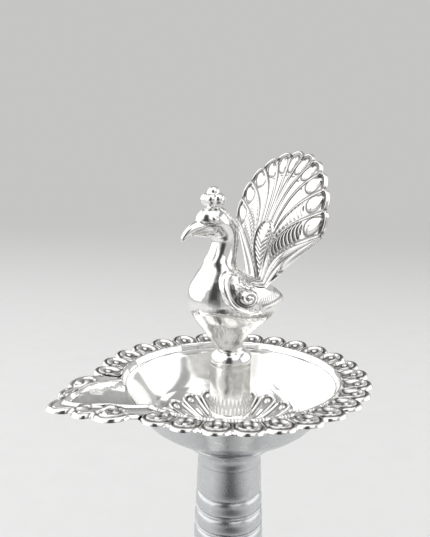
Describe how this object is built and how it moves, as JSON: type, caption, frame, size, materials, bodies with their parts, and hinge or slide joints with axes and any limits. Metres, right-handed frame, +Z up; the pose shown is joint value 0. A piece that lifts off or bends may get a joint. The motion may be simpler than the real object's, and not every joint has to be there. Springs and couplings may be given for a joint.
{
  "type": "standing oil lamp",
  "caption": "Standing oil lamp with a round foot, a turned stem, a scalloped pan with a wick spout, and a peacock with a fanned tail on a post in the middle of the pan.",
  "frame": {"origin": "middle of the underside of the foot's closing plate, on the lamp's axis", "axes": "+Z up along the lamp's axis, -Y towards the wick spout, +X to the right seen from the spout's side"},
  "size_m": [0.0794, 0.0931, 0.1973],
  "materials": {
    "silver": "polished silver",
    "satin": "satin turned silver",
    "brass": "plain machined",
    "iron": "as cast"
  },
  "bodies": {
    "base": {"base_plate": "satin", "base_screws": "brass", "base_weight": "iron", "foot": "silver", "foot_border": "silver", "foot_boss": "brass"},
    "stem_screw": {"stem_stud": "brass"},
    "stem": {"stem_foot_bush": "brass", "stem_lower": "satin", "stem_knop": "silver", "stem_upper": "satin", "stem_head_bush": "brass", "pan_collar": "satin", "oil_pan": "silver", "rim_border": "silver", "lotus_plate": "silver"},
    "post_screw": {"post_stud": "brass"},
    "post": {"post": "silver"},
    "bird_screw": {"bird_stud": "brass"},
    "bird": {"pedestal": "silver", "peacock_body": "silver", "crest": "silver", "wing_left": "silver", "wing_right": "silver", "tail_fan": "silver"}
  },
  "joints": [
    {"name": "stem_lift", "type": "slide", "parent": "base", "child": "stem_screw", "axis": [0, 0, 1], "range_m": [0, 0.0075]},
    {"name": "stem_turn", "type": "hinge", "parent": "stem_screw", "child": "stem", "pos_m": [0, 0, 0.0282], "axis": [0, 0, 1], "range_deg": [0, 1800]},
    {"name": "post_lift", "type": "slide", "parent": "stem", "child": "post_screw", "axis": [0, 0, 1], "range_m": [0, 0.00625]},
    {"name": "post_turn", "type": "hinge", "parent": "post_screw", "child": "post", "pos_m": [0, 0, 0.1227], "axis": [0, 0, 1], "range_deg": [0, 1800]},
    {"name": "bird_lift", "type": "slide", "parent": "post", "child": "bird_screw", "axis": [0, 0, 1], "range_m": [0, 0.0032]},
    {"name": "bird_turn", "type": "hinge", "parent": "bird_screw", "child": "bird", "pos_m": [0, 0, 0.1381], "axis": [0, 0, 1], "range_deg": [0, 1440]}
  ],
  "couplings": [
    {"joint": "stem_turn", "follows": "stem_lift", "rad_per_m": 4188.8},
    {"joint": "post_turn", "follows": "post_lift", "rad_per_m": 5026.5},
    {"joint": "bird_turn", "follows": "bird_lift", "rad_per_m": 7853.9}
  ]
}
